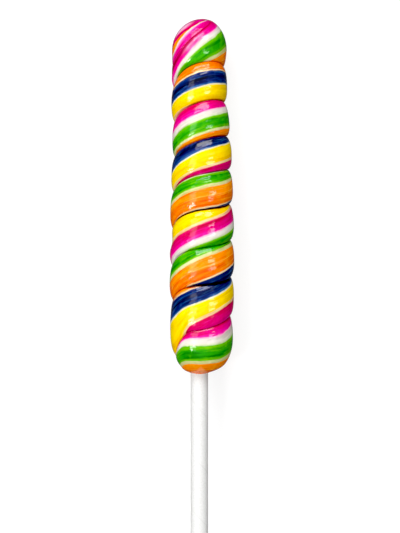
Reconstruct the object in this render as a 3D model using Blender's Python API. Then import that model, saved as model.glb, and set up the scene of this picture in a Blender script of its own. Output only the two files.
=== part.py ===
"""A swirl lollipop: a rope of hard candy wound in touching turns round a rolled paper stick.

It lies on a table with its tip towards +Y and its front side up (+Z). The candy is modelled
along its own axis: h is the distance down from the tip, and the angle round the axis runs from
the right side (0) over the front (a quarter turn) to the left.
"""

import math

import bmesh
import bpy
from mathutils import Matrix, Vector

MM = 0.001
FULL_TURN = 2 * math.pi
QUARTER_TURN = math.pi / 2

# Stick
STICK_RADIUS = 2.5 * MM
STICK_LENGTH = 150 * MM
STICK_IN_CANDY = 50 * MM
STICK_SIDES = 40
STICK_EDGE = 0.3 * MM
FIT_GAP = 0.3 * MM

# Outer form of the candy, without its grooves
TIP_RADIUS = 8.02 * MM
WIDE_RADIUS = 9.4 * MM
BASE_RADIUS = 9.15 * MM
WIDENS_BETWEEN = (10 * MM, 70 * MM)
NARROWS_BETWEEN = (70 * MM, 95 * MM)
TIP_DOME = 9.2 * MM
TIP_SQUARENESS = 2.03
BASE_START = 90.4 * MM
BASE_DOME = 12 * MM
BASE_SQUARENESS = 2.5
TIP_BEND = 0.85 * MM
TIP_BENDS_OVER = 8 * MM
SIDE_BOW = 0.72 * MM
BOWS_BETWEEN = (22 * MM, 38 * MM)
BOW_ENDS_OVER = 2 * MM

# The groove between the rope's turns. It starts at the tip one turn before turn 0, as a crease
# that crosses the top to the left side, and runs level round the back to turn 0 at the right.
TURNS = 8
CREASE_RUNS_DOWN = (-0.95, -0.46)
FIRST_GROOVE = 13.8 * MM
PITCH = 10.23 * MM
PITCH_WOBBLE = 0.4 * MM
WOBBLE_TURNS = 5
FRONT_LIFT = 1.0 * MM
TIP_FRONT_LIFT = 2.5 * MM
TIP_LIFT_TURNS = (0, 2.6)
SKEW = 0.75 * MM
SKEW_TURNS = (2, 5)
SIDE_TILT_PER_TURN = 0.21 * MM
SIDE_TILT_ENDS = (5.6, 7.1)
LAST_SAG = 2.9 * MM
LAST_SAG_TURNS = (7.03, 7.3)
LAST_DROP = 4.3 * MM
LAST_DROP_TURNS = (7.31, 7.46)

# Each turn's cross-section
GROOVE_DEPTH = 1.55 * MM
CREASE_DEPTH = 0.35 * MM
LAST_DEPTH = 1.0 * MM
CREASE_FADES_IN = (-0.95, -0.8)
DEEPENS = (-0.35, 0.1)
GETS_SHALLOW = (6.9, 7.4)
FADES_OUT = (7.5, 7.95)
PEAK = 0.58
FLANK_SQUARENESS = 2.4

# A dent in the left side of one turn
DENT_H = 64.3 * MM
DENT_DEPTH = 0.75 * MM
DENT_LENGTH = 2.4 * MM
DENT_ANGLE = math.pi
DENT_SPREAD = 0.5

# How it rests on the table: the axis's height there, which leaves small flats underneath
TIP_AXIS_HEIGHT = 7.57 * MM
BASE_AXIS_HEIGHT = 10.2 * MM

# Faces
COLUMNS = 44
ROWS = 8
LONG_BAND = 1.35
SHORT_BAND = 0.75


def smooth_step(low, high, x):
    share = min(1.0, max(0.0, (x - low) / (high - low)))
    return share * share * (3 - 2 * share)


# Outer form


def dome_arc(length, radius):
    """Length of a dome's profile, as of a quarter of an ellipse."""
    return QUARTER_TURN * math.sqrt((length * length + radius * radius) / 2)


TIP_ARC = dome_arc(TIP_DOME, TIP_RADIUS)
BASE_ARC = dome_arc(BASE_DOME, BASE_RADIUS)
SOCKET_RADIUS = STICK_RADIUS + FIT_GAP


def body_radius(h):
    """Radius over the turns' crests, away from the two domes."""
    widening = (WIDE_RADIUS - TIP_RADIUS) * smooth_step(*WIDENS_BETWEEN, h)
    narrowing = (WIDE_RADIUS - BASE_RADIUS) * smooth_step(*NARROWS_BETWEEN, h)
    return TIP_RADIUS + widening - narrowing


def level_of(h):
    """The level, a length measured along the outer form from the tip, of a height h."""
    if h < TIP_DOME:
        return TIP_ARC * math.acos((1 - h / TIP_DOME) ** (TIP_SQUARENESS / 2)) / QUARTER_TURN
    if h > BASE_START:
        share = min(1.0, (h - BASE_START) / BASE_DOME) ** (BASE_SQUARENESS / 2)
        return level_of(BASE_START) + BASE_ARC * math.asin(share) / QUARTER_TURN
    return TIP_ARC + h - TIP_DOME


def station(level):
    """(h, radius) of the outer form at a level."""
    if level < TIP_ARC:
        angle = level / TIP_ARC * QUARTER_TURN
        h = TIP_DOME * (1 - math.cos(angle) ** (2 / TIP_SQUARENESS))
        return h, body_radius(h) * math.sin(angle) ** (2 / TIP_SQUARENESS)
    past = level - level_of(BASE_START)
    if past <= 0:
        h = level - TIP_ARC + TIP_DOME
        return h, body_radius(h)
    angle = min(1.0, past / BASE_ARC) * QUARTER_TURN
    h = BASE_START + BASE_DOME * math.sin(angle) ** (2 / BASE_SQUARENESS)
    return h, BASE_RADIUS * max(0.0, math.cos(angle)) ** (2 / BASE_SQUARENESS)


def mouth_level():
    """Level where the base dome has closed in to the stick's socket."""
    closed = (SOCKET_RADIUS / BASE_RADIUS) ** (BASE_SQUARENESS / 2)
    return level_of(BASE_START) + BASE_ARC * math.acos(closed) / QUARTER_TURN


MOUTH_LEVEL = mouth_level()
MOUTH_H = station(MOUTH_LEVEL)[0]


def side_shift(h):
    """The candy bows a little to the right of the stick, as its tip does, and meets it at the mouth."""
    bow = SIDE_BOW * smooth_step(*BOWS_BETWEEN, h) * (1 - smooth_step(MOUTH_H - BOW_ENDS_OVER, MOUTH_H, h))
    return bow + TIP_BEND * (1 - min(1.0, h / TIP_BENDS_OVER)) ** 2


# Groove and turns


def groove_height(turn):
    """h of the groove after so many turns. A whole number of turns is at the right side."""
    if turn < 0:
        return FIRST_GROOVE * smooth_step(*CREASE_RUNS_DOWN, turn)
    angle = turn * FULL_TURN
    middle = FIRST_GROOVE + PITCH * turn
    middle += PITCH_WOBBLE * math.sin(FULL_TURN * turn / WOBBLE_TURNS)
    middle += SKEW * smooth_step(*SKEW_TURNS, turn) * math.sin(2 * angle)
    side_tilt = SIDE_TILT_PER_TURN * turn * (1 - smooth_step(*SIDE_TILT_ENDS, turn))
    lift = TIP_FRONT_LIFT + (FRONT_LIFT - TIP_FRONT_LIFT) * smooth_step(*TIP_LIFT_TURNS, turn)
    last = LAST_SAG * smooth_step(*LAST_SAG_TURNS, turn) + LAST_DROP * smooth_step(*LAST_DROP_TURNS, turn)
    return middle - side_tilt * math.cos(angle) - lift * math.sin(angle) + last


def groove_level(turn):
    return min(MOUTH_LEVEL, level_of(groove_height(turn)))


def groove_depth(turn):
    """Shallow on the tip's dome, full along the body, and fading out under the base."""
    crease = CREASE_DEPTH * smooth_step(*CREASE_FADES_IN, turn)
    deeper = (GROOVE_DEPTH - CREASE_DEPTH) * smooth_step(*DEEPENS, turn)
    lost = (GROOVE_DEPTH - LAST_DEPTH) * smooth_step(*GETS_SHALLOW, turn)
    return crease + deeper - lost - LAST_DEPTH * smooth_step(*FADES_OUT, turn)


def flank(share):
    """How deep a flank lies, from 0 on the crest to 1 in the groove."""
    return 1 - math.sqrt(1 - min(1.0, share) ** FLANK_SQUARENESS)


def sunk(across, above, below):
    """Depth under the outer form at a share across a turn, between grooves of two depths."""
    if across < PEAK:
        return above * flank(1 - across / PEAK)
    return below * flank((across - PEAK) / (1 - PEAK))


def dent(angle, h):
    """How deep the dent is at a place on the candy."""
    along = (h - DENT_H) / DENT_LENGTH
    around = math.remainder(angle - DENT_ANGLE, FULL_TURN) / DENT_SPREAD
    return DENT_DEPTH * math.exp(-along * along - around * around)


def surface_point(angle, level, depth):
    """The point at an angle and a level, sunk square to the outer form."""
    h, radius = station(level)
    step = 0.01 * MM
    h_before, radius_before = station(max(0.0, level - step))
    h_after, radius_after = station(level + step)
    along = Vector((h_after - h_before, radius_after - radius_before)).normalized()
    depth += dent(angle, h)
    h += depth * along.y
    radius = max(0.0, radius - depth * along.x)
    return Vector((radius * math.cos(angle) + side_shift(h), -h, radius * math.sin(angle)))


# Candy


def row_shares(length):
    """Shares across a band of the rope where its rows lie, closest together by the grooves."""
    turns = length / PITCH
    rows = ROWS if SHORT_BAND < turns < LONG_BAND else max(1, round(ROWS * turns))
    return [(1 - math.cos(math.pi * row / rows)) / 2 for row in range(1, rows + 1)]


def column_bands(bm, column, tip):
    """One column of the candy, from the tip to the mouth, as a list of bands between grooves.

    Each band is a list of vertices, and its first is the last of the band above.
    """
    turn = column / COLUMNS
    angle = turn * FULL_TURN
    edges = [(0.0, 0.0)]
    edges += [(groove_level(turn + k), groove_depth(turn + k)) for k in range(-1, TURNS)]
    edges.append((MOUTH_LEVEL, 0.0))
    bands = []
    last = tip
    for (top, above), (bottom, below) in zip(edges, edges[1:]):
        band = [last]
        if bottom > top:
            for share in row_shares(bottom - top):
                level = top + share * (bottom - top)
                depth = sunk(share, above, below)
                band.append(bm.verts.new(surface_point(angle, level, depth)))
        bands.append(band)
        last = band[-1]
    return bands


def stitch(bm, left, right):
    """Fills between two neighbouring bands, with quads where their rows match."""
    if len(left) == len(right):
        for row in range(len(left) - 1):
            corners = (left[row], left[row + 1], right[row + 1], right[row])
            bm.faces.new(dict.fromkeys(corners))
        return
    a = b = 0
    while a < len(left) - 1 or b < len(right) - 1:
        left_share = (a + 1) / len(left) if a < len(left) - 1 else 2
        right_share = (b + 1) / len(right) if b < len(right) - 1 else 2
        if left_share <= right_share:
            corners = (left[a], left[a + 1], right[b])
            a += 1
        else:
            corners = (left[a], right[b + 1], right[b])
            b += 1
        if len(set(corners)) == 3:
            bm.faces.new(corners)


def add_turns(bm):
    """The rope's outside. Past the last column each band carries on as the next one down."""
    tip = bm.verts.new((0, 0, 0))
    columns = [column_bands(bm, column, tip) for column in range(COLUMNS)]
    for left, right in zip(columns, columns[1:]):
        for left_band, right_band in zip(left, right):
            stitch(bm, left_band, right_band)
    first, last = columns[0], columns[-1]
    for left_band, right_band in zip(last, first[1:]):
        stitch(bm, left_band, right_band)
    stitch(bm, last[-1], [first[-1][-1]])


def add_socket(bm):
    """Closes the mouth with the blind hole that the stick goes into."""
    rim = [edge for edge in bm.edges if edge.is_boundary]
    walls = bmesh.ops.extrude_edge_only(bm, edges=rim)["geom"]
    deep = [item for item in walls if isinstance(item, bmesh.types.BMVert)]
    bmesh.ops.translate(bm, verts=deep, vec=(0, STICK_IN_CANDY + FIT_GAP, 0))
    end = [item for item in walls if isinstance(item, bmesh.types.BMEdge) and item.is_boundary]
    bmesh.ops.contextual_create(bm, geom=end)


def flatten_underside(bm, table):
    """Cuts the candy off at the table's plane, and closes the cuts with flat faces."""
    everything = bm.verts[:] + bm.edges[:] + bm.faces[:]
    table_up = table.to_3x3() @ Vector((0, 0, 1))
    cut = bmesh.ops.bisect_plane(
        bm,
        geom=everything,
        dist=0.001 * MM,
        plane_co=table.translation,
        plane_no=table_up,
        clear_inner=True,
    )
    rims = [item for item in cut["geom_cut"] if isinstance(item, bmesh.types.BMEdge)]
    bmesh.ops.holes_fill(bm, edges=[edge for edge in rims if edge.is_boundary])


def finish_mesh(bm, name, material, sharp_angle):
    bmesh.ops.recalc_face_normals(bm, faces=bm.faces)
    mesh = bpy.data.meshes.new(name)
    bm.to_mesh(mesh)
    bm.free()
    mesh.materials.append(material)
    mesh.shade_smooth()
    mesh.set_sharp_from_angle(angle=sharp_angle)
    piece = bpy.data.objects.new(name, mesh)
    bpy.context.scene.collection.objects.link(piece)
    return piece


def make_candy(table):
    bm = bmesh.new()
    add_turns(bm)
    add_socket(bm)
    flatten_underside(bm, table)
    return finish_mesh(bm, "candy", make_material("candy", (0.9, 0.4, 0.05), 0.2), math.radians(50))


# Stick


def make_stick():
    bm = bmesh.new()
    bmesh.ops.create_cone(
        bm,
        cap_ends=True,
        segments=STICK_SIDES,
        radius1=STICK_RADIUS,
        radius2=STICK_RADIUS,
        depth=STICK_LENGTH,
        matrix=Matrix.Rotation(-QUARTER_TURN, 4, "X"),
    )
    rims = [edge for edge in bm.edges if any(len(face.verts) == STICK_SIDES for face in edge.link_faces)]
    bmesh.ops.bevel(bm, geom=rims, offset=STICK_EDGE, segments=2, affect="EDGES", profile=0.5)
    stick = finish_mesh(bm, "stick", make_material("stick", (0.92, 0.92, 0.9), 0.6), math.radians(40))
    stick.location.y = STICK_IN_CANDY - MOUTH_H - STICK_LENGTH / 2
    return stick


def make_material(name, colour, roughness):
    material = bpy.data.materials.new(name)
    material.use_nodes = True
    shader = material.node_tree.nodes["Principled BSDF"]
    shader.inputs["Base Color"].default_value = (*colour, 1)
    shader.inputs["Roughness"].default_value = roughness
    return material


# Placing


def table_in_candy_space():
    """The table as the candy sees it: under the tip, sloping away towards the base."""
    lean = math.atan((BASE_AXIS_HEIGHT - TIP_AXIS_HEIGHT) / MOUTH_H)
    return Matrix.Translation((0, 0, -TIP_AXIS_HEIGHT)) @ Matrix.Rotation(lean, 4, "X")


def centre_over_origin(holder, pieces):
    """Moves the whole so that the middle of its box is over the origin."""
    bpy.context.view_layer.update()
    corners = [piece.matrix_world @ vertex.co for piece in pieces for vertex in piece.data.vertices]
    for axis in (0, 1):
        places = [corner[axis] for corner in corners]
        holder.location[axis] -= (min(places) + max(places)) / 2


def main():
    for old in list(bpy.data.objects):
        bpy.data.objects.remove(old)
    table = table_in_candy_space()
    holder = bpy.data.objects.new("lollipop", None)
    bpy.context.scene.collection.objects.link(holder)
    holder.matrix_world = table.inverted()
    pieces = [make_candy(table), make_stick()]
    for piece in pieces:
        piece.parent = holder
    centre_over_origin(holder, pieces)


main()
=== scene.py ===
import math

import bpy
from mathutils import Matrix, Vector, noise


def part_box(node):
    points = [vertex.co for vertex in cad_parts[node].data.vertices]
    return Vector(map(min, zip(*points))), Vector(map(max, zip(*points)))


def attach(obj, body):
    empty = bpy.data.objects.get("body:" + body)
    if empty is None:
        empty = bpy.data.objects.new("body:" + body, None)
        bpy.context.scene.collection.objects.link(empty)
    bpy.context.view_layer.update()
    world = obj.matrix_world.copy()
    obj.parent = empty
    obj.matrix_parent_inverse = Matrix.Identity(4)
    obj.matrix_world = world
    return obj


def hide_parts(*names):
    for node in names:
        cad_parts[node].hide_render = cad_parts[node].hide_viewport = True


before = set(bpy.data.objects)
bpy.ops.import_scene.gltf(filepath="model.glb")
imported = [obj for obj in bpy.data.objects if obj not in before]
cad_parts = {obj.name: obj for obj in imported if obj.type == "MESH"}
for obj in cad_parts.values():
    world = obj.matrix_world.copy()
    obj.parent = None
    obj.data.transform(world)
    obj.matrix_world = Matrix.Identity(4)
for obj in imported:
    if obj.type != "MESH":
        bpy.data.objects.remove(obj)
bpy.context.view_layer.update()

MM = 0.001
FULL_TURN = 2 * math.pi
QUARTER_TURN = math.pi / 2

# Sizes of the CAD part
STICK_RADIUS = 2.5 * MM
STICK_LENGTH = 150 * MM
STICK_IN_CANDY = 50 * MM
STICK_EDGE = 0.3 * MM
FIT_GAP = 0.3 * MM
TIP_RADIUS = 8.02 * MM
WIDE_RADIUS = 9.4 * MM
BASE_RADIUS = 9.15 * MM
WIDENS_BETWEEN = (10 * MM, 70 * MM)
NARROWS_BETWEEN = (70 * MM, 95 * MM)
TIP_DOME = 9.2 * MM
TIP_SQUARENESS = 2.03
BASE_START = 90.4 * MM
BASE_DOME = 12 * MM
BASE_SQUARENESS = 2.5
TIP_BEND = 0.85 * MM
TIP_BENDS_OVER = 8 * MM
SIDE_BOW = 0.72 * MM
BOWS_BETWEEN = (22 * MM, 38 * MM)
BOW_ENDS_OVER = 2 * MM
TURNS = 8
CREASE_RUNS_DOWN = (-0.95, -0.46)
FIRST_GROOVE = 13.8 * MM
PITCH = 10.23 * MM
PITCH_WOBBLE = 0.4 * MM
WOBBLE_TURNS = 5
FRONT_LIFT = 1.0 * MM
TIP_FRONT_LIFT = 2.5 * MM
TIP_LIFT_TURNS = (0, 2.6)
SKEW = 0.75 * MM
SKEW_TURNS = (2, 5)
SIDE_TILT_PER_TURN = 0.21 * MM
SIDE_TILT_ENDS = (5.6, 7.1)
LAST_SAG = 2.9 * MM
LAST_SAG_TURNS = (7.03, 7.3)
LAST_DROP = 4.3 * MM
LAST_DROP_TURNS = (7.31, 7.46)
GROOVE_DEPTH = 1.55 * MM
CREASE_DEPTH = 0.35 * MM
LAST_DEPTH = 1.0 * MM
CREASE_FADES_IN = (-0.95, -0.8)
DEEPENS = (-0.35, 0.1)
GETS_SHALLOW = (6.9, 7.4)
FADES_OUT = (7.5, 7.95)
PEAK = 0.58
FLANK_SQUARENESS = 2.4
DENT_H = 64.3 * MM
DENT_DEPTH = 0.75 * MM
DENT_LENGTH = 2.4 * MM
DENT_ANGLE = math.pi
DENT_SPREAD = 0.5
TIP_AXIS_HEIGHT = 7.57 * MM
BASE_AXIS_HEIGHT = 10.2 * MM

# Fineness of the shown candy
COLUMNS = 240
ROWS = 26


def smooth_step(low, high, x):
    share = min(1.0, max(0.0, (x - low) / (high - low)))
    return share * share * (3 - 2 * share)


# Outer form, the same as the CAD part's

# A height h is measured along the candy's axis from its tip, and a level along its outer curve.
# A turn starts at the right side and runs over the front.


def dome_arc(length, radius):
    """The rough length of a dome's curve, from its pole to its rim."""
    return QUARTER_TURN * math.sqrt((length * length + radius * radius) / 2)


TIP_ARC = dome_arc(TIP_DOME, TIP_RADIUS)
BASE_ARC = dome_arc(BASE_DOME, BASE_RADIUS)
BASE_LEVEL = TIP_ARC + BASE_START - TIP_DOME


def body_radius(h):
    """Radius of the column without its domes."""
    widening = (WIDE_RADIUS - TIP_RADIUS) * smooth_step(*WIDENS_BETWEEN, h)
    narrowing = (WIDE_RADIUS - BASE_RADIUS) * smooth_step(*NARROWS_BETWEEN, h)
    return TIP_RADIUS + widening - narrowing


def level_of(h):
    """The level that belongs to a height."""
    if h < TIP_DOME:
        return TIP_ARC * math.acos((1 - h / TIP_DOME) ** (TIP_SQUARENESS / 2)) / QUARTER_TURN
    if h > BASE_START:
        share = min(1.0, (h - BASE_START) / BASE_DOME) ** (BASE_SQUARENESS / 2)
        return BASE_LEVEL + BASE_ARC * math.asin(share) / QUARTER_TURN
    return TIP_ARC + h - TIP_DOME


def station(level):
    """Height and outer radius at a level."""
    if level < TIP_ARC:
        angle = level / TIP_ARC * QUARTER_TURN
        h = TIP_DOME * (1 - math.cos(angle) ** (2 / TIP_SQUARENESS))
        return h, body_radius(h) * math.sin(angle) ** (2 / TIP_SQUARENESS)
    past = level - BASE_LEVEL
    if past <= 0:
        h = level - TIP_ARC + TIP_DOME
        return h, body_radius(h)
    angle = min(1.0, past / BASE_ARC) * QUARTER_TURN
    h = BASE_START + BASE_DOME * math.sin(angle) ** (2 / BASE_SQUARENESS)
    return h, BASE_RADIUS * max(0.0, math.cos(angle)) ** (2 / BASE_SQUARENESS)


# Where the foot has closed in on the stick
CLOSED = ((STICK_RADIUS + FIT_GAP) / BASE_RADIUS) ** (BASE_SQUARENESS / 2)
MOUTH_LEVEL = BASE_LEVEL + BASE_ARC * math.acos(CLOSED) / QUARTER_TURN
MOUTH_H = station(MOUTH_LEVEL)[0]


def side_shift(h):
    """How far the column stands to the right of the stick's line: bent at its tip, and bowed below."""
    bow_ends = smooth_step(MOUTH_H - BOW_ENDS_OVER, MOUTH_H, h)
    bow = SIDE_BOW * smooth_step(*BOWS_BETWEEN, h) * (1 - bow_ends)
    bend = TIP_BEND * (1 - min(1.0, h / TIP_BENDS_OVER)) ** 2
    return bow + bend


def groove_height(turn):
    """Height of the groove between two turns of the rope."""
    if turn < 0:
        return FIRST_GROOVE * smooth_step(*CREASE_RUNS_DOWN, turn)
    angle = turn * FULL_TURN
    middle = FIRST_GROOVE + PITCH * turn
    middle += PITCH_WOBBLE * math.sin(FULL_TURN * turn / WOBBLE_TURNS)
    middle += SKEW * smooth_step(*SKEW_TURNS, turn) * math.sin(2 * angle)
    side_tilt = SIDE_TILT_PER_TURN * turn * (1 - smooth_step(*SIDE_TILT_ENDS, turn))
    lift = TIP_FRONT_LIFT + (FRONT_LIFT - TIP_FRONT_LIFT) * smooth_step(*TIP_LIFT_TURNS, turn)
    sag = LAST_SAG * smooth_step(*LAST_SAG_TURNS, turn)
    drop = LAST_DROP * smooth_step(*LAST_DROP_TURNS, turn)
    return middle - side_tilt * math.cos(angle) - lift * math.sin(angle) + (sag + drop)


# Unevenness of the grooves. A slice is a place in the noise that no other use of it shares.
UNEVENNESS = 0.13 * MM
UNEVEN_PER_TURN = 7
UNEVEN_SLICE = 1.7
UNEVEN_FROM = (-0.9, -0.6)


def groove_level(turn):
    """The level of the CAD groove, with the small unevenness of a pulled rope."""
    level = level_of(groove_height(turn))
    wander = noise.noise(Vector((turn * UNEVEN_PER_TURN, UNEVEN_SLICE, 0)))
    uneven = UNEVENNESS * wander * smooth_step(*UNEVEN_FROM, turn)
    return min(MOUTH_LEVEL, level + uneven) if level > 0 else 0.0


def groove_depth(turn):
    """How deep the groove is cut into the outer form."""
    crease = CREASE_DEPTH * smooth_step(*CREASE_FADES_IN, turn)
    deeper = (GROOVE_DEPTH - CREASE_DEPTH) * smooth_step(*DEEPENS, turn)
    lost = (GROOVE_DEPTH - LAST_DEPTH) * smooth_step(*GETS_SHALLOW, turn)
    return crease + deeper - lost - LAST_DEPTH * smooth_step(*FADES_OUT, turn)


def flank(share):
    """Fall of a turn's side, from 0 at its peak to 1 in the groove."""
    return 1 - math.sqrt(1 - min(1.0, share) ** FLANK_SQUARENESS)


def sunk(across, above, below):
    """Depth under the outer form across one turn, from the groove above it to the groove below."""
    if across < PEAK:
        return above * flank(1 - across / PEAK)
    return below * flank((across - PEAK) / (1 - PEAK))


def dent(angle, h):
    """Depth of the dent in the left side."""
    along = (h - DENT_H) / DENT_LENGTH
    around = math.remainder(angle - DENT_ANGLE, FULL_TURN) / DENT_SPREAD
    return DENT_DEPTH * math.exp(-along * along - around * around)


def surface_point(angle, level, depth):
    """The point at an angle round the axis and at a level, so deep under the outer form."""
    h, radius = station(level)
    step = 0.01 * MM
    h_before, radius_before = station(max(0.0, level - step))
    h_after, radius_after = station(level + step)
    along = Vector((h_after - h_before, radius_after - radius_before)).normalized()
    depth += dent(angle, h)
    h += depth * along.y
    radius = max(0.0, radius - depth * along.x)
    return Vector((radius * math.cos(angle) + side_shift(h), -h, radius * math.sin(angle)))


# Hollows of the surface, in millimetres, and about how many there are along and across one turn,
# or round one cycle of its colours
HOLLOW_MM, BROAD_MM, RIDGE_MM = 0.07, 0.06, 0.018
BROAD_ALONG, BROAD_ACROSS, BROAD_SLICE = 8, 2.5, 4.1
RIDGES_ALONG, RIDGES_ROUND, RIDGES_SLICE = 11, 14, 9.3


def relief(turn, across, phase):
    """Hollows of the pulled sugar's surface, drawn out along the rope. Never above the CAD form."""
    broad = noise.noise(Vector((turn * BROAD_ALONG, across * BROAD_ACROSS, BROAD_SLICE)))
    ridges = noise.noise(Vector((turn * RIDGES_ALONG, phase * RIDGES_ROUND, RIDGES_SLICE)))
    depth = HOLLOW_MM + BROAD_MM * broad + RIDGE_MM * ridges
    return depth * MM * math.sin(math.pi * across) ** 0.5


# Colour bands

# Each line says where one place in the cycle of colours runs on one turn: as shares across the
# turn, at equal steps from the right side over the front to the left.
WHITE_TOP, WHITE_MIDDLE, WHITE_LOW = 0.134, 0.17, 0.206
GREEN_LOW, ORANGE_LOW, NAVY_LOW, YELLOW_LOW = 0.36, 0.608, 0.784, 0.974
BAND_LINES = {
    1: [
        (0.02, (0.0, 0.0, 0.0, 0.0, 0.0, 0.0, 0.0)),
        (WHITE_TOP, (0.28, 0.3, 0.31, 0.31, 0.545, 0.83, 0.95)),
        (WHITE_LOW, (0.38, 0.42, 0.465, 0.55, 0.785, 0.94, 1.1)),
        (GREEN_LOW, (0.71, 0.815, 0.955, 1.1, 1.3, 1.45, 1.6)),
        (ORANGE_LOW, (1.05, 1.15, 1.3, 1.45, 1.65, 1.8, 1.95)),
    ],
    2: [
        (GREEN_LOW, (-0.3, -0.28, -0.27, -0.26, -0.25)),
        (ORANGE_LOW, (0.17, 0.22, 0.25, 0.275, 0.26)),
        (NAVY_LOW, (0.53, 0.585, 0.64, 0.66, 0.665)),
        (YELLOW_LOW, (1.08, 1.07, 1.04, 0.985, 0.965)),
    ],
    3: [
        (YELLOW_LOW - 1, (-0.08, -0.08, -0.08, -0.08, -0.08)),
        (WHITE_MIDDLE, (0.16, 0.3, 0.385, 0.475, 0.59)),
        (GREEN_LOW, (0.73, 0.82, 0.87, 0.925, 0.98)),
        (ORANGE_LOW, (1.0, 1.08, 1.12, 1.15, 1.2)),
    ],
    4: [
        (ORANGE_LOW, (-0.06, -0.06, -0.06, -0.06, -0.06)),
        (NAVY_LOW, (0.14, 0.265, 0.35, 0.49, 0.63)),
        (YELLOW_LOW, (0.62, 0.755, 0.85, 0.93, 0.99)),
        (WHITE_MIDDLE + 1, (1.05, 1.12, 1.16, 1.2, 1.25)),
    ],
    5: [
        (WHITE_MIDDLE, (-0.04, -0.06, -0.06, -0.06, -0.06)),
        (GREEN_LOW, (0.22, 0.33, 0.38, 0.455, 0.49)),
        (ORANGE_LOW, (0.84, 0.92, 0.95, 0.975, 1.03)),
        (NAVY_LOW, (1.0, 1.2, 1.35, 1.45, 1.5)),
    ],
    6: [
        (NAVY_LOW, (-0.4, -0.2, -0.1, -0.05, -0.02)),
        (YELLOW_LOW, (0.02, 0.185, 0.33, 0.49, 0.55)),
        (WHITE_MIDDLE + 1, (0.47, 0.64, 0.795, 0.935, 1.0)),
        (GREEN_LOW + 1, (0.98, 1.15, 1.25, 1.35, 1.5)),
    ],
    7: [
        (WHITE_MIDDLE, (-0.35, -0.28, -0.2, -0.1, -0.06)),
        (GREEN_LOW, (0.07, 0.115, 0.24, 0.465, 0.57)),
        (ORANGE_LOW, (0.53, 0.69, 0.875, 1.05, 1.25)),
        (NAVY_LOW, (0.98, 1.15, 1.3, 1.45, 1.6)),
    ],
    8: [
        (ORANGE_LOW, (-0.35, -0.2, 0.0, 0.11, 0.1)),
        (NAVY_LOW, (0.08, 0.215, 0.36, 0.48, 0.49)),
        (YELLOW_LOW, (0.49, 0.52, 0.57, 0.645, 0.735, 0.845, 1.08, 1.06, 0.97)),
        (WHITE_MIDDLE + 1, (1.05, 1.12, 1.2, 1.4, 1.3)),
    ],
    9: [
        (YELLOW_LOW - 1, (-0.03, -0.04, -0.04, -0.02, -0.02)),
        (WHITE_TOP, (0.08, 0.155, 0.1, 0.055, 0.0)),
        (WHITE_LOW, (0.23, 0.25, 0.205, 0.15, 0.02)),
        (GREEN_LOW, (0.46, 0.565, 0.56, 0.53, 0.46)),
        (ORANGE_LOW, (1.15, 1.12, 1.1, 1.08, 1.05)),
    ],
}
LAST_TURN = 9

# How fast the cycle goes on past the outer lines, and about how far it shifts behind
END_SLOPE = 0.46
TWIST_BEHIND = -0.35

# The tucked end on the dome, with places of its own, from the pole to the crease
TIP_PATCH, TIP_ORANGE_TOP, TIP_ORANGE_LOW, TIP_CREAM_LOW = 0.3, 0.5, 0.6, 0.7
TIP_LINES = [
    (TIP_PATCH, (0.4, 0.4, 0.4, 0.42, 0.47, 0.54, 0.57)),
    (TIP_ORANGE_TOP, (0.6, 0.6, 0.6, 0.6, 0.675, 0.735, 0.77)),
    (TIP_ORANGE_LOW, (0.6, 0.6, 0.6, 0.605, 0.705, 0.855, 0.9)),
    (TIP_CREAM_LOW, (0.64, 0.64, 0.64, 0.67, 0.845, 0.925, 0.945)),
]
ORANGE_STARTS = (-0.67, -0.64)

# A paler patch on the tucked end, and the fold where its own colours stop
PATCH_FROM, PATCH_TO = (0.62, 0.76), (0.86, 0.97)
TIP_FOLD = (-0.3, -0.27)


def along_front(values, share):
    """A smooth curve through values at equal steps, a Catmull-Rom spline."""
    place = min(1.0, max(0.0, share)) * (len(values) - 1)
    i = min(len(values) - 2, int(place))
    t = place - i
    before = values[i - 1] if i > 0 else 2 * values[0] - values[1]
    after = values[i + 2] if i + 2 < len(values) else 2 * values[-1] - values[-2]
    a, b = values[i], values[i + 1]
    steepens = t * t * (before - 2.5 * a + 2 * b - after / 2)
    eases = t**3 * (1.5 * (a - b) + (after - before) / 2)
    return a + t * (b - before) / 2 + steepens + eases


def between_lines(lines, share, across):
    """Place in the cycle of colours at a share from right to left, and across the turn."""
    points = [(along_front(values, share), phase) for phase, values in lines]
    if across <= points[0][0]:
        return points[0][1] - END_SLOPE * (points[0][0] - across)
    for (a, low), (b, high) in zip(points, points[1:]):
        if across <= b:
            return low + (high - low) * (across - a) / max(1e-6, b - a)
    return points[-1][1] + END_SLOPE * (across - points[-1][0])


def cycle_offsets():
    """Whole cycles to add to each turn, so that the colours run on evenly behind."""
    offsets = {1: 0}
    for turn in range(2, LAST_TURN + 1):
        before = between_lines(BAND_LINES[turn - 1], 1, 0.5) + offsets[turn - 1]
        offsets[turn] = round(before + TWIST_BEHIND - between_lines(BAND_LINES[turn], 0, 0.5))
    return offsets


OFFSETS = cycle_offsets()


def phase_at(turn, across):
    """Place in the cycle of colours: in front by the turn's lines, and behind on to the next turn's."""
    number = max(1, math.floor(turn) + 1)
    share = (turn - (number - 1)) * 2
    here = between_lines(BAND_LINES[number], share, across) + OFFSETS[number]
    if share <= 1 or number == LAST_TURN:
        return here
    onward = between_lines(BAND_LINES[number + 1], 0, across) + OFFSETS[number + 1]
    return here + (onward - here) * smooth_step(0, 1, share - 1)


# Painted shade in the grooves

# Painted shade: where two turns part, a groove is painted black. Where they press together,
# the painted shade only deepens the colour.
# A gap has its first and last turn, its darkness and its reach.
SEAM_SHADE = 0.35
SEAM_WIDTH = 0.035
SHADED_GAPS = (
    (1.02, 1.3, 0.6, 0.04),
    (2.0, 2.14, 0.75, 0.03),
    (3.0, 3.2, 0.75, 0.035),
    (4.03, 4.4, 1.0, 0.04),
    (6.05, 6.3, 1.0, 0.055),
)
GAP_ENDS_OVER = 0.06


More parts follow.
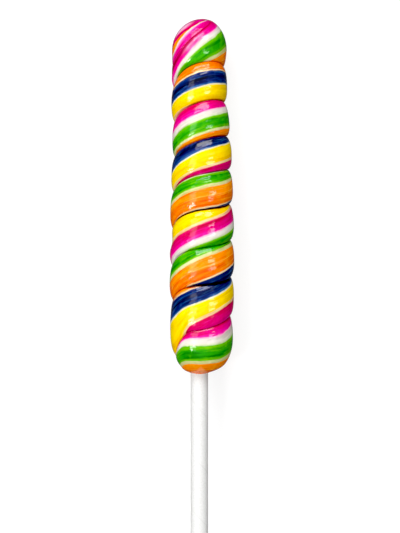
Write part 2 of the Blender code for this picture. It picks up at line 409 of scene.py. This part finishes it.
def painted_groove_shade(turn):
    """How dark the painted shade in a groove is, and how far it reaches up and down from it."""
    dark, width = SEAM_SHADE, SEAM_WIDTH
    for first, last, darkness, reach in SHADED_GAPS:
        opens = smooth_step(first - GAP_ENDS_OVER, first, turn)
        closes = smooth_step(last, last + GAP_ENDS_OVER, turn)
        inside = opens * (1 - closes)
        dark += (darkness - SEAM_SHADE) * inside
        width += (reach - width) * inside
    return dark * smooth_step(*CREASE_FADES_IN, turn), width


CREASE_LINE = (0.0, 0.0, 0.0, 0.02, 0.13, 0.31, 0.5)
CREASE_SHADE = 0.42
CREASE_SHADE_FROM = (0.25, 0.7)
CREASE_REACH = 0.07
CREASE_WIDENS = 0.25
CREASE_CORE = 0.3


def crease_shade(turn, across):
    """Painted shade below the crease on the first turn, where the tucked end was pressed down."""
    share = turn * 2
    if not 0 < share < 1:
        return 0.0
    off = abs(across - along_front(CREASE_LINE, share))
    reach = CREASE_REACH + CREASE_WIDENS * share**3
    fades = smooth_step(CREASE_CORE * reach, reach, off)
    return CREASE_SHADE * smooth_step(*CREASE_SHADE_FROM, share) * (1 - fades)


def hollow_shade(turn, across, last_band):
    """Painted shade near the grooves above and below, from 0 to 1."""
    above, above_width = painted_groove_shade(turn - 1)
    below, below_width = painted_groove_shade(turn)
    dark_above = above * (1 - smooth_step(0, above_width, across))
    dark_below = below * (1 - smooth_step(0, below_width, 1 - across))
    return max(dark_above, 0.0 if last_band else dark_below, crease_shade(turn, across))


# Candy

BLOOM_SHARE, BLOOM_ACROSS = 0.62, 0.22
BLOOM_LENGTH, BLOOM_WIDTH = 0.09, 0.12


def bloom(share, across):
    """A paler place beside the crease on the first turn."""
    along = (share - BLOOM_SHARE) / BLOOM_LENGTH
    over = (across - BLOOM_ACROSS) / BLOOM_WIDTH
    return math.exp(-(along**2) - over**2)


def tip_values(turn, across):
    """On the tucked end: the place in its colours, how far they hold, and how pale its patch is."""
    share = (turn + 1) * 2
    patch = smooth_step(*PATCH_FROM, share) * (1 - smooth_step(*PATCH_TO, share))
    return between_lines(TIP_LINES, share, across), 1 - smooth_step(*TIP_FOLD, turn), patch


def candy_column(points, column):
    """Bands of (vertex, turn, phase, hollow shade, tip place, on tip, patch) down one column."""
    start = column / COLUMNS
    angle = start * FULL_TURN
    edges = [(0.0, 0.0)]
    edges += [(groove_level(start + k), groove_depth(start + k)) for k in range(-1, TURNS)]
    edges.append((MOUTH_LEVEL, 0.0))
    bands = []
    vertex = 0
    for k, ((top, above), (bottom, below)) in enumerate(zip(edges, edges[1:])):
        turn = start + k - 1
        rows = ROWS if bottom > top else 0
        band = []
        for row in range(rows + 1):
            across = (1 - math.cos(math.pi * row / rows)) / 2 if rows else 0.0
            phase = phase_at(turn, across)
            if row:
                depth = sunk(across, above, below) + relief(turn, across, phase)
                points.append(surface_point(angle, top + across * (bottom - top), depth))
                vertex = len(points) - 1
            shade = hollow_shade(turn, across, bottom == MOUTH_LEVEL)
            tip = (0.0, 0.0, 0.0)
            if k == 0:
                tip = tip_values(turn, across)
            elif k == 1:
                tip = (0.0, 0.0, bloom(turn * 2, across))
            band.append((vertex, turn, phase, shade, *tip))
        bands.append(band)
    return bands


def stitch(faces, left, right):
    """Adds the faces between two neighbouring bands, as lists of their corners."""
    if len(left) == len(right):
        for row in range(len(left) - 1):
            corners = (left[row], right[row], right[row + 1], left[row + 1])
            distinct = list({corner[0]: corner for corner in corners}.values())
            if len(distinct) > 2:
                faces.append(distinct)
        return
    long, point = (left, right[0]) if len(left) > len(right) else (right, left[0])
    for above, below in zip(long, long[1:]):
        corners = (below, above, point) if long is left else (above, below, point)
        if len({corner[0] for corner in corners}) == 3:
            faces.append(list(corners))


# Rings round the stick below the mouth: how far down, and the radius, in millimetres
COLLAR_RINGS = ((0.05, 2.76), (0.1, 2.64), (0.13, 2.46))
DROP_ANGLE = 1.5
DROP_SPREAD = 0.7
DROP_LENGTH = 0.2 * MM
RUN_WAVER = 0.3
RUN_WAVES = 2
RUN_SLICE = 5


def add_collar(points, faces, ends):
    """Closes the mouth onto the stick, with a drop of candy that ran a little down it."""
    rings = [ends]
    for down, radius in COLLAR_RINGS:
        ring = []
        for column, end in enumerate(ends):
            angle = column / COLUMNS * FULL_TURN
            run = math.exp(-((math.remainder(angle - DROP_ANGLE, FULL_TURN) / DROP_SPREAD) ** 2))
            around = (math.cos(angle) * RUN_WAVES, math.sin(angle) * RUN_WAVES, RUN_SLICE)
            run += RUN_WAVER * noise.noise(Vector(around))
            h = MOUTH_H + down * MM + max(0.0, run) * DROP_LENGTH * down / COLLAR_RINGS[-1][0]
            r = radius * MM
            points.append(Vector((r * math.cos(angle), -h, r * math.sin(angle))))
            ring.append((len(points) - 1, *end[1:]))
        rings.append(ring)
    for upper, lower in zip(rings, rings[1:]):
        for i in range(COLUMNS):
            j = (i + 1) % COLUMNS
            faces.append([upper[i], upper[j], lower[j], lower[i]])
    points.append(Vector((0, -MOUTH_H, 0)))
    middle = (len(points) - 1, *rings[-1][0][1:])
    for i, corner in enumerate(rings[-1]):
        faces.append([corner, rings[-1][(i + 1) % COLUMNS], middle])


def build_candy():
    """The wound rope as one closed mesh, with what its material needs kept in UV layers."""
    points = [Vector((side_shift(0), 0, 0))]
    faces = []
    columns = [candy_column(points, column) for column in range(COLUMNS)]
    for left, right in zip(columns, columns[1:]):
        for left_band, right_band in zip(left, right):
            stitch(faces, left_band, right_band)
    # Once round, each turn of the helix has become the next
    for left_band, right_band in zip(columns[-1], columns[0][1:]):
        stitch(faces, left_band, right_band)
    last_band = columns[-1][-1]
    stitch(faces, last_band, [columns[0][-1][-1]])
    add_collar(points, faces, [column[-1][-1] for column in columns])
    mesh = bpy.data.meshes.new("swirl_candy")
    mesh.from_pydata(points, [], [[corner[0] for corner in face] for face in faces])
    # Each layer holds two of the six values that go with a corner
    layers = [mesh.uv_layers.new(name=name) for name in ("rope", "place", "tip")]
    corners = [corner for face in faces for corner in face]
    for i, layer in enumerate(layers):
        layer.uv.foreach_set("vector", [v for corner in corners for v in corner[1 + 2 * i : 3 + 2 * i]])
    mesh.shade_smooth()
    return mesh


# Stick

STICK_SIDES = 96
STICK_STEPS = 40
EDGE_STEPS = 4
STARTS_INSIDE = 4 * MM

# Rings on the cut end, in millimetres: how far in, and the radius. The last two are in the roll hole.
END_RINGS = ((0, 1.9), (0, 1.6), (0, 1.3), (0, 1.0), (0, 0.7), (0, 0.4), (0.25, 0.32), (0.5, 0.25))
SHARP_EDGE = math.radians(50)


def stick_rings():
    """Places along the stick and radii, from inside the candy down to the roll hole in the cut end."""
    top = -(MOUTH_H - STARTS_INSIDE)
    bottom = STICK_IN_CANDY - MOUTH_H - STICK_LENGTH
    rings = []
    for i in range(STICK_STEPS + 1):
        up = (top - bottom - STICK_EDGE) * (1 - i / STICK_STEPS)
        rings.append((bottom + STICK_EDGE + up, STICK_RADIUS))
    for i in range(1, EDGE_STEPS + 1):
        turned = QUARTER_TURN * i / EDGE_STEPS
        y = bottom + STICK_EDGE * (1 - math.sin(turned))
        rings.append((y, STICK_RADIUS - STICK_EDGE * (1 - math.cos(turned))))
    return rings + [(bottom + inward * MM, radius * MM) for inward, radius in END_RINGS]


def build_stick():
    """The rolled paper stick, with its coordinates unrolled as turns round and millimetres along."""
    rings = stick_rings()
    points = []
    for y, radius in rings:
        for side in range(STICK_SIDES):
            angle = side / STICK_SIDES * FULL_TURN
            points.append(Vector((radius * math.cos(angle), y, radius * math.sin(angle))))
    faces, uvs = [], []
    for r in range(len(rings) - 1):
        upper, lower = r * STICK_SIDES, (r + 1) * STICK_SIDES
        for side in range(STICK_SIDES):
            other = (side + 1) % STICK_SIDES
            faces.append((upper + side, upper + other, lower + other, lower + side))
            for row, step in ((r, 0), (r, 1), (r + 1, 1), (r + 1, 0)):
                uvs += [(side + step) / STICK_SIDES, -rings[row][0] / MM]
    for ring in (0, len(rings) - 1):
        points.append(Vector((0, rings[ring][0], 0)))
        for side in range(STICK_SIDES):
            a, b = ring * STICK_SIDES + side, ring * STICK_SIDES + (side + 1) % STICK_SIDES
            faces.append((b, a, len(points) - 1) if ring == 0 else (a, b, len(points) - 1))
            uvs += [0.0, -rings[ring][0] / MM] * 3
    mesh = bpy.data.meshes.new("rolled_stick")
    mesh.from_pydata(points, [], faces)
    mesh.uv_layers.new(name="unrolled").uv.foreach_set("vector", uvs)
    mesh.shade_smooth()
    mesh.set_sharp_from_angle(angle=SHARP_EDGE)
    return mesh


# Materials


def srgb(red, green, blue):
    """A colour given as it looks on a screen, from 0 to 255."""
    parts = [value / 255 for value in (red, green, blue)]
    return (*[p / 12.92 if p <= 0.04045 else ((p + 0.055) / 1.055) ** 2.4 for p in parts], 1)


class Nodes:
    """Short names for making and joining a material's nodes."""

    def __init__(self, name):
        self.material = bpy.data.materials.new(name)
        self.material.use_nodes = True
        self.tree = self.material.node_tree
        self.shader = self.tree.nodes["Principled BSDF"]

    def put(self, socket, value):
        if isinstance(value, bpy.types.NodeSocket):
            self.tree.links.new(value, socket)
        else:
            socket.default_value = value

    def math(self, operation, a, b=0.0):
        node = self.tree.nodes.new("ShaderNodeMath")
        node.operation = operation
        self.put(node.inputs[0], a)
        self.put(node.inputs[1], b)
        return node.outputs[0]

    def uv(self, layer):
        node = self.tree.nodes.new("ShaderNodeUVMap")
        node.uv_map = layer
        split = self.tree.nodes.new("ShaderNodeSeparateXYZ")
        self.put(split.inputs[0], node.outputs[0])
        return split.outputs[0], split.outputs[1]

    def vector(self, x, y):
        node = self.tree.nodes.new("ShaderNodeCombineXYZ")
        self.put(node.inputs[0], x)
        self.put(node.inputs[1], y)
        return node.outputs[0]

    def noise(self, vector, detail, scale=1.0, rough=0.5):
        node = self.tree.nodes.new("ShaderNodeTexNoise")
        self.put(node.inputs["Vector"], vector)
        node.inputs["Scale"].default_value = scale
        node.inputs["Detail"].default_value = detail
        node.inputs["Roughness"].default_value = rough
        return node.outputs["Fac"]

    def between(self, value, low, high, to_low=0.0, to_high=1.0):
        node = self.tree.nodes.new("ShaderNodeMapRange")
        node.interpolation_type = "SMOOTHSTEP"
        for socket, number in zip(node.inputs, (value, low, high, to_low, to_high)):
            self.put(socket, number)
        return node.outputs[0]

    def ramp(self, value, stops):
        node = self.tree.nodes.new("ShaderNodeValToRGB")
        self.put(node.inputs[0], value)
        elements = node.color_ramp.elements
        while len(elements) < len(stops):
            elements.new(0.5)
        for element, (place, colour) in zip(elements, stops):
            element.position = place
            element.color = colour
        return node.outputs[0]

    def mix(self, factor, a, b, blend="MIX"):
        node = self.tree.nodes.new("ShaderNodeMix")
        node.data_type = "RGBA"
        node.blend_type = blend
        self.put(node.inputs[0], factor)
        self.put(node.inputs[6], a)
        self.put(node.inputs[7], b)
        return node.outputs[2]

    def gamma(self, colour, power):
        node = self.tree.nodes.new("ShaderNodeGamma")
        self.put(node.inputs[0], colour)
        node.inputs[1].default_value = power
        return node.outputs[0]

    def bump(self, height, distance, strength, under=None):
        node = self.tree.nodes.new("ShaderNodeBump")
        self.put(node.inputs["Height"], height)
        node.inputs["Distance"].default_value = distance
        node.inputs["Strength"].default_value = strength
        if under:
            self.put(node.inputs["Normal"], under)
        return node.outputs[0]

    def set(self, **values):
        for name, value in values.items():
            self.put(self.shader.inputs[name.replace("_", " ")], value)


PINK = srgb(220, 0, 118)
DEEP_PINK = srgb(206, 0, 80)
LIGHT_PINK = srgb(232, 18, 150)
PALE_PINK = srgb(244, 150, 198)
BLOOM_PINK = srgb(248, 190, 220)
WHITE = srgb(222, 215, 205)
WARM_WHITE = srgb(208, 214, 172)
GREY_WHITE = srgb(204, 204, 190)
GREEN = srgb(32, 154, 0)
LIME = srgb(98, 182, 0)
CREAM = srgb(208, 206, 140)
PEACH = srgb(236, 204, 146)
PALE_LINE = srgb(224, 218, 178)
ORANGE = srgb(250, 136, 0)
DEEP_ORANGE = srgb(238, 110, 0)
GLOW = srgb(250, 160, 42)
NAVY = srgb(8, 28, 98)
DARK_NAVY = srgb(4, 11, 58)
BLUE = srgb(34, 88, 152)
YELLOW = srgb(247, 213, 0)
GOLD = srgb(246, 204, 0)


def stops_between(bands):
    """Two stops for each change of colour: where it starts and where it is done."""
    return [stop for low, high, before, after in bands for stop in ((low, before), (high, after))]


# The cycle of colours round the rope, in two halves, because a colour ramp holds 32 stops at most.
# Each row has where a change starts and is done, and the colours before and after it.
UPPER_CYCLE = stops_between(
    [
        (0.02, 0.07, DEEP_PINK, PINK),
        (0.09, 0.122, PINK, LIGHT_PINK),
        (0.128, 0.133, LIGHT_PINK, PALE_PINK),
        (0.134, 0.152, PALE_PINK, WHITE),
        (0.185, 0.203, WHITE, WARM_WHITE),
        (0.206, 0.213, WARM_WHITE, LIME),
        (0.222, 0.245, LIME, GREEN),
        (0.31, 0.328, GREEN, LIME),
        (0.336, 0.343, LIME, CREAM),
        (0.374, 0.381, CREAM, ORANGE),
        (0.468, 0.472, ORANGE, GLOW),
        (0.477, 0.484, GLOW, DEEP_ORANGE),
    ]
)
LOWER_CYCLE = stops_between(
    [
        (0.5, 0.585, DEEP_ORANGE, DEEP_ORANGE),
        (0.596, 0.602, DEEP_ORANGE, PEACH),
        (0.613, 0.619, PEACH, NAVY),
        (0.66, 0.68, NAVY, DARK_NAVY),
        (0.7, 0.73, DARK_NAVY, NAVY),
        (0.75, 0.772, NAVY, BLUE),
        (0.775, 0.779, BLUE, PALE_LINE),
        (0.789, 0.795, PALE_LINE, YELLOW),
        (0.84, 0.92, YELLOW, GOLD),
        (0.955, 0.962, GOLD, PEACH),
        (0.985, 0.993, PEACH, DEEP_PINK),
    ]
)

# Paler tones for the fine streaks in each stripe, round the same cycle
STREAKS = stops_between(
    [
        (0.12, 0.14, LIGHT_PINK, GREY_WHITE),
        (0.2, 0.22, GREY_WHITE, LIME),
        (0.34, 0.36, LIME, CREAM),
        (0.38, 0.4, CREAM, GLOW),
        (0.59, 0.63, GLOW, BLUE),
        (0.77, 0.8, BLUE, GOLD),
        (0.94, 0.98, GOLD, PINK),
    ]
)

# The tucked end, from the pole to the crease, first without its orange stripe and then with it
TIP_TOP_CYCLE = stops_between(
    [
        (0.4, 0.48, PINK, DEEP_PINK),
        (0.535, 0.57, DEEP_PINK, PEACH),
        (0.625, 0.66, WHITE, PALE_PINK),
        (0.71, 0.78, LIGHT_PINK, PINK),
    ]
)
TIP_CYCLE = stops_between(
    [
        (0.4, 0.48, PINK, DEEP_PINK),
        (0.495, 0.505, DEEP_PINK, ORANGE),
        (0.585, 0.605, ORANGE, PEACH),
        (0.625, 0.66, WHITE, PALE_PINK),
        (0.71, 0.78, LIGHT_PINK, PINK),
    ]
)

# How noise changes the colours and the gloss: noise from and to, and the share or roughness there
STREAKS_SHOW = (0.5, 0.68, 0.0, 1.0)
STREAKS_THIN_OUT = (0.36, 0.62, 0.15, 0.75)
FINE_DEEPER = (0.54, 0.7, 0.0, 0.65)
FINE_LIGHTER = (0.45, 0.3, 0.0, 0.6)
STRANDS_DEEPER = (0.52, 0.66, 0.0, 0.8)
STRANDS_LIGHTER = (0.46, 0.34, 0.0, 0.5)
MOTTLE_LIGHTER = (0.46, 0.3, 0.0, 0.4)
GLOSS_VARIES = (0.4, 0.62, 0.05, 0.14)

# How far the stripes' edges waver, as a share of the cycle
WAVER = 0.018

# The pale patch on the tucked end, and the paler place beside the crease
PATCH_FADES = (0.01, 0.11)
PATCH_SHARE = 0.85
PATCH_BESIDE = 0.45

# Deeper and lighter tones of the same sugar, and the painted shade in the grooves
DEEPER_GAMMA, DEEPER_TINT = 1.45, (0.92, 0.92, 0.92, 1)
LIGHTER_GAMMA = 0.66
GROOVE_SHADE_GAMMA, GROOVE_SHADE_TINT = 1.9, (0.72, 0.5, 0.9, 1)
PAINTED_SHADE_BLACK = (0.002, 0.0015, 0.002, 1)
GROOVE_SHADE_DEEPENS = (0.0, 0.5)
GROOVE_SHADE_BLACKENS = (0.4, 1.0)

# Bumps of the glossy surface: how many along one turn and round one cycle, millimetres, strength
SURFACE_BUMPS = ((8, 8, 0.16, 0.6), (9, 22, 0.16, 1.0), (36, 14, 0.1, 1.0))


def candy_material():
    """Glossy boiled sugar, coloured in stripes that run along the rope."""
    n = Nodes("hard_candy")
    turn, phase = n.uv("rope")
    hollow, tip_place = n.uv("place")
    on_tip, patch = n.uv("tip")

    def drawn_out(along, around, detail, rough=0.5):
        """Noise with so many bumps along one turn of the rope, and round one cycle of colours."""
        place = n.vector(n.math("MULTIPLY", turn, along), n.math("MULTIPLY", phase, around))
        return n.noise(place, detail=detail, rough=rough)

    waver = n.math("MULTIPLY", n.math("SUBTRACT", drawn_out(18, 7, 3), 0.5), WAVER)
    cycle = n.math("FRACT", n.math("ADD", phase, waver))
    halves = (n.ramp(cycle, UPPER_CYCLE), n.ramp(cycle, LOWER_CYCLE))
    colour = n.mix(n.math("GREATER_THAN", cycle, 0.5), *halves)
    on_end = n.math("ADD", tip_place, waver)
    tip_ramps = (n.ramp(on_end, TIP_TOP_CYCLE), n.ramp(on_end, TIP_CYCLE))
    tip_colour = n.mix(n.between(turn, *ORANGE_STARTS), *tip_ramps)
    off_patch = n.math("ABSOLUTE", n.math("SUBTRACT", on_end, TIP_PATCH))
    pale = n.math("SUBTRACT", 1.0, n.between(off_patch, *PATCH_FADES))
    paleness = n.math("MULTIPLY", n.math("MULTIPLY", pale, patch), PATCH_SHARE)
    tip_colour = n.mix(paleness, tip_colour, BLOOM_PINK)
    colour = n.mix(n.math("MULTIPLY", patch, PATCH_BESIDE), colour, BLOOM_PINK)
    colour = n.mix(on_tip, colour, tip_colour)

    fine = drawn_out(11, 46, 4, 0.6)
    strands = drawn_out(5, 22, 2)
    mottle = drawn_out(24, 13, 1)
    accents = drawn_out(6, 34, 3, 0.6)
    patches = drawn_out(5, 4, 2)
    shown = n.math("MULTIPLY", n.between(accents, *STREAKS_SHOW), n.between(patches, *STREAKS_THIN_OUT))
    colour = n.mix(shown, colour, n.mix(on_tip, n.ramp(cycle, STREAKS), colour))
    deeper = n.mix(1.0, n.gamma(colour, DEEPER_GAMMA), DEEPER_TINT, "MULTIPLY")
    lighter = n.gamma(colour, LIGHTER_GAMMA)
    colour = n.mix(n.between(fine, *FINE_DEEPER), colour, deeper)
    colour = n.mix(n.between(fine, *FINE_LIGHTER), colour, lighter)
    colour = n.mix(n.between(strands, *STRANDS_DEEPER), colour, deeper)
    colour = n.mix(n.between(strands, *STRANDS_LIGHTER), colour, lighter)
    colour = n.mix(n.between(mottle, *MOTTLE_LIGHTER), colour, lighter)
    # Painted shade: the colour deepens, then turns black, in the grooves and along the crease
    painted_shade_colour = n.mix(1.0, n.gamma(colour, GROOVE_SHADE_GAMMA), GROOVE_SHADE_TINT, "MULTIPLY")
    colour = n.mix(n.between(hollow, *GROOVE_SHADE_DEEPENS), colour, painted_shade_colour)
    colour = n.mix(n.between(hollow, *GROOVE_SHADE_BLACKENS), colour, PAINTED_SHADE_BLACK)

    normal = None
    for along, around, height_mm, strength in SURFACE_BUMPS:
        normal = n.bump(drawn_out(along, around, 1), height_mm * MM, strength, normal)
    n.set(
        Base_Color=colour,
        Roughness=n.between(drawn_out(14, 24, 1), *GLOSS_VARIES),
        Normal=normal,
        IOR=1.5,
        Specular_IOR_Level=0.5,
        Subsurface_Weight=0.05,
        Subsurface_Scale=0.6 * MM,
    )
    n.shader.inputs["Subsurface Radius"].default_value = (1.0, 0.6, 0.4)
    return n.material


PAPER = srgb(226, 226, 225)
PAPER_FIBRE = srgb(216, 216, 214)
PAPER_BLOTCH = srgb(220, 220, 216)
PAPER_LINE = srgb(204, 204, 200)

# The paper is a strip that moves on by so many millimetres in one turn. The lines run along the
# middle of it, and a line's row has where it starts to fade and ends, and its strength there.
WINDING_MM = 15.5
STRIP_LINE = 0.5
SECOND_STRIP = 0.37
FIRST_LINE = (0.0, 0.02, 1.0, 0.0)
SECOND_LINE = (0.0, 0.012, 0.6, 0.0)
LINE_SHADE = 0.4
STEP_AT = (0.5, 0.56)
STEP_HEIGHT, LINE_HEIGHT = 0.6, -0.8
LINE_BUMP, LINE_BUMP_STRENGTH = 0.05 * MM, 0.7
FIBRE_BUMP, FIBRE_BUMP_STRENGTH = 0.02 * MM, 0.5

# How noise changes the paper: noise from and to, and the share of the change or the roughness there
FIBRES_SHOW = (0.35, 0.7, 0.0, 1.0)
BLOTCHES_SHOW = (0.45, 0.7, 0.0, 0.35)
PAPER_ROUGHNESS = (0.3, 0.7, 0.55, 0.75)


def stick_material():
    """Matt white paper with fine fibres, and the lines and the low step of its winding."""
    n = Nodes("rolled_paper")
    around, along = n.uv("unrolled")

    def across_strip(start):
        """Place across the wound strip, from 0 to 1."""
        return n.math("FRACT", n.math("ADD", n.math("MULTIPLY", along, 1 / WINDING_MM), start))

    def line(place, form):
        return n.between(n.math("ABSOLUTE", n.math("SUBTRACT", place, STRIP_LINE)), *form)

    wound = across_strip(around)
    seam_line = line(wound, FIRST_LINE)
    second_line = line(across_strip(n.math("ADD", around, SECOND_STRIP)), SECOND_LINE)
    lines = n.math("MAXIMUM", seam_line, second_line)
    coordinates = n.tree.nodes.new("ShaderNodeTexCoord").outputs["Object"]
    fibres = n.noise(coordinates, scale=2600, detail=3, rough=0.65)
    blotches = n.noise(coordinates, scale=420, detail=2)
    paper = n.mix(n.between(fibres, *FIBRES_SHOW), PAPER, PAPER_FIBRE)
    paper = n.mix(n.between(blotches, *BLOTCHES_SHOW), paper, PAPER_BLOTCH)
    paper = n.mix(n.math("MULTIPLY", lines, LINE_SHADE), paper, PAPER_LINE)
    step = n.math("MULTIPLY", n.between(wound, *STEP_AT), STEP_HEIGHT)
    height = n.math("ADD", step, n.math("MULTIPLY", lines, LINE_HEIGHT))
    normal = n.bump(height, LINE_BUMP, LINE_BUMP_STRENGTH)
    normal = n.bump(fibres, FIBRE_BUMP, FIBRE_BUMP_STRENGTH, normal)
    n.set(Base_Color=paper, Roughness=n.between(fibres, *PAPER_ROUGHNESS), Normal=normal)
    return n.material


FLOOR_TONE = (0.32, 0.32, 0.32, 1)
FLOOR_GRAIN = (0.3, 0.3, 0.3, 1)
FLOOR_GLOW = 0.72


def floor_material():
    """A matt pale floor that gives off light of its own, so that it is white up to its far edges."""
    n = Nodes("pale_floor")
    coordinates = n.tree.nodes.new("ShaderNodeTexCoord").outputs["Object"]
    grain = n.noise(coordinates, scale=60, detail=3)
    n.set(
        Base_Color=n.mix(grain, FLOOR_TONE, FLOOR_GRAIN),
        Roughness=0.9,
        Specular_IOR_Level=0.0,
        Emission_Color=(1, 1, 1, 1),
        Emission_Strength=FLOOR_GLOW,
    )
    return n.material


# Placing the shown pieces where the CAD part is


def part_matrix():
    """From the candy's own axis to the part's place, which the stick's box gives."""
    lean = math.atan((BASE_AXIS_HEIGHT - TIP_AXIS_HEIGHT) / MOUTH_H)
    table = Matrix.Translation((0, 0, -TIP_AXIS_HEIGHT)) @ Matrix.Rotation(lean, 4, "X")
    placed = table.inverted()
    low, high = [Vector(corner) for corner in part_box("stick")]
    end = placed @ Vector((0, STICK_IN_CANDY - MOUTH_H - STICK_LENGTH, -STICK_RADIUS + STICK_EDGE))
    shift = Vector(((low.x + high.x) / 2, low.y - end.y, 0))
    return Matrix.Translation(shift) @ placed


def add_piece(name, mesh, material, matrix, node):
    """Adds a mesh that rides on the part's one body and stands for a CAD node."""
    mesh.transform(matrix)
    mesh.materials.append(material)
    piece = bpy.data.objects.new(name, mesh)
    bpy.context.scene.collection.objects.link(piece)
    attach(piece, "root")
    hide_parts(node)


def rest_on_table(mesh):
    """Presses the undersides of the turns flat where they lie on the table, as in the CAD part."""
    for vertex in mesh.vertices:
        vertex.co.z = max(vertex.co.z, 0.0)


place = part_matrix()
candy_mesh = build_candy()
add_piece("swirl_candy", candy_mesh, candy_material(), place, "candy")
rest_on_table(candy_mesh)
add_piece("rolled_stick", build_stick(), stick_material(), place, "stick")

# Floor. The gloss doesn't mirror it, it throws no light back, and the light from below passes it.
FLOOR_SIZE = 12
bpy.ops.mesh.primitive_plane_add(size=FLOOR_SIZE)
floor = bpy.context.object
floor.name = "floor"
floor.data.materials.append(floor_material())
floor.visible_glossy = False
floor.visible_diffuse = False
floor.visible_shadow = False

# Light

# Lamps: name, place, level side, sloping side, brightness
MIRRORED_LAMPS = (
    ("key_left", (-0.3, 0.06, 0.48), 0.5, 0.22, 1.9),
    ("key_core", (-0.31, -0.12, 0.47), 0.1, 0.22, 12.5),
    ("top_strip", (0.0, 0.46, 0.38), 0.55, 0.22, 6.5),
    ("right_spot", (0.33, 0.08, 0.46), 0.08, 0.2, 7.0),
)

# Low light on the sides and at the foot, and light from below in place of what the floor throws back.
# The gloss mirrors none of it.
FILL_LAMPS = (
    ("left_fill", (-0.5, 0.0, 0.24), 0.5, 0.3, 2.0),
    ("right_fill", (0.5, 0.0, 0.24), 0.5, 0.3, 1.0),
    ("foot_fill", (0.0, -0.5, 0.2), 0.4, 0.4, 0.9),
    ("under_fill", (0.0, 0.05, -0.5), 0.7, 0.7, 0.7),
)
LAMPS_FACE = Vector((0, 0.05, 0.01))


def add_light(name, place, size, size_y, brightness, mirrored):
    """A soft rectangular light that faces the middle of the candy."""
    light = bpy.data.lights.new(name, "AREA")
    light.shape = "RECTANGLE"
    light.size = size
    light.size_y = size_y
    light.energy = brightness * math.pi * size * size_y
    lamp = bpy.data.objects.new(name, light)
    lamp.location = place
    lamp.rotation_euler = (LAMPS_FACE - Vector(place)).to_track_quat("-Z", "Y").to_euler()
    lamp.visible_glossy = mirrored
    bpy.context.scene.collection.objects.link(lamp)


for lamp in MIRRORED_LAMPS:
    add_light(*lamp, mirrored=True)
for lamp in FILL_LAMPS:
    add_light(*lamp, mirrored=False)

# A pale room, darker towards its walls
HORIZON_LIGHT = 0.1
OVERHEAD_LIGHT = 0.5
world = bpy.data.worlds.new("soft_white")
world.use_nodes = True
nodes, links = world.node_tree.nodes, world.node_tree.links
background = nodes["Background"]
upward = nodes.new("ShaderNodeSeparateXYZ")
direction = nodes.new("ShaderNodeTexCoord").outputs["Generated"]
links.new(direction, upward.inputs[0])
brighter_above = nodes.new("ShaderNodeMapRange")
links.new(upward.outputs[2], brighter_above.inputs["Value"])
brighter_above.inputs["To Min"].default_value = HORIZON_LIGHT
brighter_above.inputs["To Max"].default_value = OVERHEAD_LIGHT
links.new(brighter_above.outputs[0], background.inputs["Strength"])
background.inputs["Color"].default_value = (1, 1, 1, 1)
bpy.context.scene.world = world

# Dark tones a little deeper than a plain view's, as in the photograph
BLACK_LEVEL = 0.015
view = bpy.context.scene.view_settings
view.view_transform = "Standard"
view.use_curve_mapping = True
view.curve_mapping.black_level = (BLACK_LEVEL, BLACK_LEVEL, BLACK_LEVEL)
view.curve_mapping.update()

# Camera, looking straight down at the candy, with the stick running out at the picture's foot

# The picture's middle is given in pixels, to the right of the stick's line and down from the tip
PIXEL = 0.289 * MM
PICTURE_HEIGHT = 533
MIDDLE_RIGHT = 0.6
MIDDLE_DOWN = 248
DISTANCE = 0.32
FOCUS_HEIGHT = 8.8 * MM
SENSOR_HEIGHT = 24
stick_low, stick_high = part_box("stick")
tip_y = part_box("candy")[1][1]
camera_data = bpy.data.cameras.new("camera")
camera = bpy.data.objects.new("camera", camera_data)
camera.location = (
    (stick_low[0] + stick_high[0]) / 2 + MIDDLE_RIGHT * PIXEL,
    tip_y - MIDDLE_DOWN * PIXEL,
    FOCUS_HEIGHT + DISTANCE,
)
camera_data.sensor_fit = "VERTICAL"
camera_data.sensor_height = SENSOR_HEIGHT
camera_data.lens = SENSOR_HEIGHT * DISTANCE / (PICTURE_HEIGHT * PIXEL)
camera_data.clip_start = 0.01
bpy.context.scene.collection.objects.link(camera)
bpy.context.scene.camera = camera
